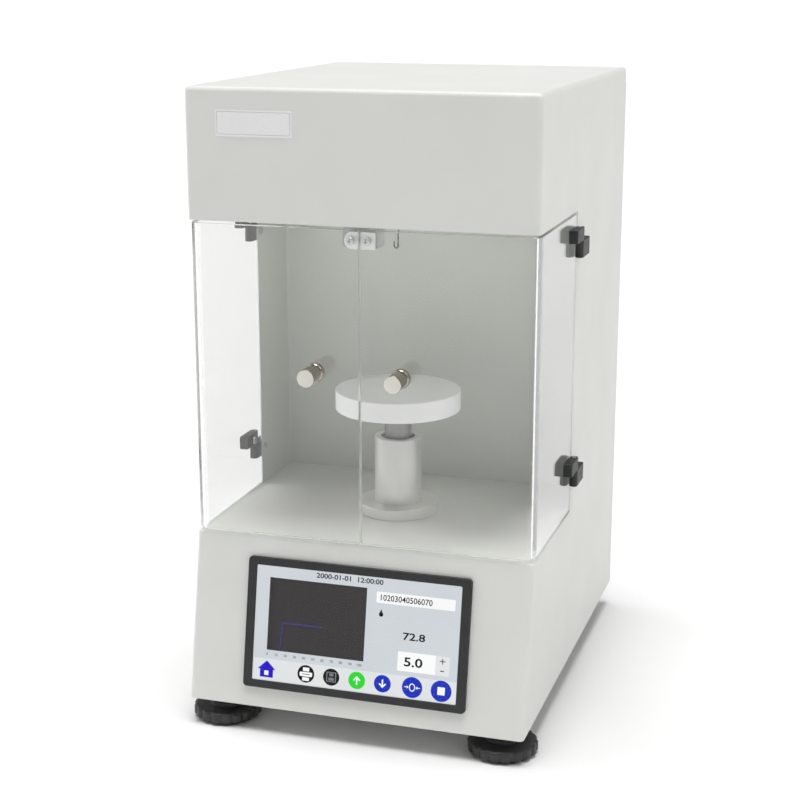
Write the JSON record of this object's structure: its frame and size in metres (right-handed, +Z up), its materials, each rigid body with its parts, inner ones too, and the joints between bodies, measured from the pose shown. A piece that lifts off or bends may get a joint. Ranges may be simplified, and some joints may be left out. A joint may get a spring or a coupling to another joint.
{
  "type": "surface tensiometer",
  "caption": "Bench surface tensiometer: sloped display base, clear-doored measuring chamber with a lifting sample stage, and a weighing head with a hanging hook.",
  "frame": {"origin": "on the bench, under the middle of the object's outline", "axes": "+Z up, +X to the operator's right, -Y towards the operator"},
  "size_m": [0.2632, 0.3396, 0.46],
  "materials": {
    "casing_paint": "fine-textured powder coat, warm light grey, satin",
    "chamber_paint": "smooth powder coat, light grey, satin",
    "acrylic": "clear bent acrylic sheet, polished",
    "black_plastic": "moulded black plastic, fine grain",
    "bezel_plastic": "black moulded bezel, satin",
    "screen_glass": "clear cover glass",
    "screen_face": "lit display face",
    "steel": "zinc-plated and machined steel",
    "nickel": "turned metal, warm nickel plating",
    "aluminium": "satin machined aluminium",
    "white_plastic": "white turned engineering plastic",
    "label_white": "blank white plate",
    "brass": "machined",
    "motor_black": "black painted steel",
    "circuit_board": "green solder mask",
    "supply_case": "folded bright sheet",
    "rubber": "black moulded rubber"
  },
  "bodies": {
    "casing": {"base_plate": "casing_paint", "base_front_panel": "casing_paint", "left_side_panel": "casing_paint", "right_side_panel": "casing_paint", "head_front_panel": "casing_paint", "top_cover": "casing_paint", "rear_panel": "casing_paint", "machine_screws": "steel", "chamber_floor": "chamber_paint", "chamber_liner": "chamber_paint", "chamber_ceiling": "chamber_paint", "label_plate": "label_white", "body_hinge_blocks": "black_plastic", "hinge_pins": "steel", "magnet_catch": "white_plastic", "catch_magnets": "steel", "display_bezel": "bezel_plastic", "touch_glass": "screen_glass", "lcd_panel": "screen_face", "display_board": "circuit_board", "display_clamps": "steel", "stage_column": "aluminium", "guide_bush": "brass", "column_flange": "aluminium", "stepper_motor": "motor_black", "motor_bracket": "steel", "load_cell": "aluminium", "load_cell_bracket": "aluminium", "hanger_rod": "steel", "power_supply": "supply_case", "main_board": "circuit_board", "board_standoffs": "steel", "power_inlet": "black_plastic", "switch_frame": "black_plastic", "serial_port": "steel", "weld_nuts": "steel", "rear_feet": "rubber"},
    "left_door": {"left_door": "acrylic", "left_door_hinge_blocks": "black_plastic", "left_door_screws": "steel", "left_door_knob": "nickel", "left_strike_plate": "steel"},
    "right_door": {"right_door": "acrylic", "right_door_hinge_blocks": "black_plastic", "right_door_screws": "steel", "right_door_knob": "nickel", "right_strike_plate": "steel"},
    "stage": {"stage_disc": "white_plastic", "stage_shaft": "steel", "lift_nut": "brass", "shaft_key": "steel"},
    "lift_screw": {"lead_screw": "steel"},
    "hook": {"weighing_hook": "steel"},
    "rocker": {"power_rocker": "black_plastic"},
    "left_foot_pad": {"front_left_foot_pad": "rubber"},
    "left_foot_wheel": {"front_left_foot_wheel": "black_plastic", "front_left_foot_stud": "steel"},
    "right_foot_pad": {"front_right_foot_pad": "rubber"},
    "right_foot_wheel": {"front_right_foot_wheel": "black_plastic", "front_right_foot_stud": "steel"}
  },
  "joints": [
    {"name": "left_door_hinge", "type": "hinge", "parent": "casing", "child": "left_door", "pos_m": [-0.1285, -0.03175, 0.142], "axis": [0, 0, 1], "range_deg": [-100, 0]},
    {"name": "right_door_hinge", "type": "hinge", "parent": "casing", "child": "right_door", "pos_m": [0.1285, -0.03175, 0.142], "axis": [0, 0, 1], "range_deg": [0, 100]},
    {"name": "stage_lift", "type": "slide", "parent": "casing", "child": "stage", "axis": [0, 0, 1], "range_m": [-0.018, 0.026]},
    {"name": "lift_screw_turn", "type": "hinge", "parent": "casing", "child": "lift_screw", "pos_m": [0, -0.05525, 0.142], "axis": [0, 0, 1], "range_deg": [-4681, 3241]},
    {"name": "hook_swing", "type": "hinge", "parent": "casing", "child": "hook", "pos_m": [0, -0.05525, 0.392], "axis": [0, 1, 0], "range_deg": [-6, 6]},
    {"name": "power_rocker_tilt", "type": "hinge", "parent": "casing", "child": "rocker", "pos_m": [-0.02, 0.16225, 0.06], "axis": [1, 0, 0], "range_deg": [0, 16]},
    {"name": "left_foot_height", "type": "slide", "parent": "casing", "child": "left_foot_pad", "axis": [0, 0, -1], "range_m": [-0.003, 0.008]},
    {"name": "left_foot_turn", "type": "hinge", "parent": "left_foot_pad", "child": "left_foot_wheel", "pos_m": [-0.105, -0.14475, 0], "axis": [0, 0, 1], "range_deg": [-2305, 865]},
    {"name": "right_foot_height", "type": "slide", "parent": "casing", "child": "right_foot_pad", "axis": [0, 0, -1], "range_m": [-0.003, 0.008]},
    {"name": "right_foot_turn", "type": "hinge", "parent": "right_foot_pad", "child": "right_foot_wheel", "pos_m": [0.105, -0.14475, 0], "axis": [0, 0, 1], "range_deg": [-2305, 865]}
  ],
  "couplings": [
    {"joint": "lift_screw_turn", "follows": "stage_lift", "rad_per_m": -3141.6},
    {"joint": "left_foot_turn", "follows": "left_foot_height", "rad_per_m": -5026.5},
    {"joint": "right_foot_turn", "follows": "right_foot_height", "rad_per_m": -5026.5}
  ]
}
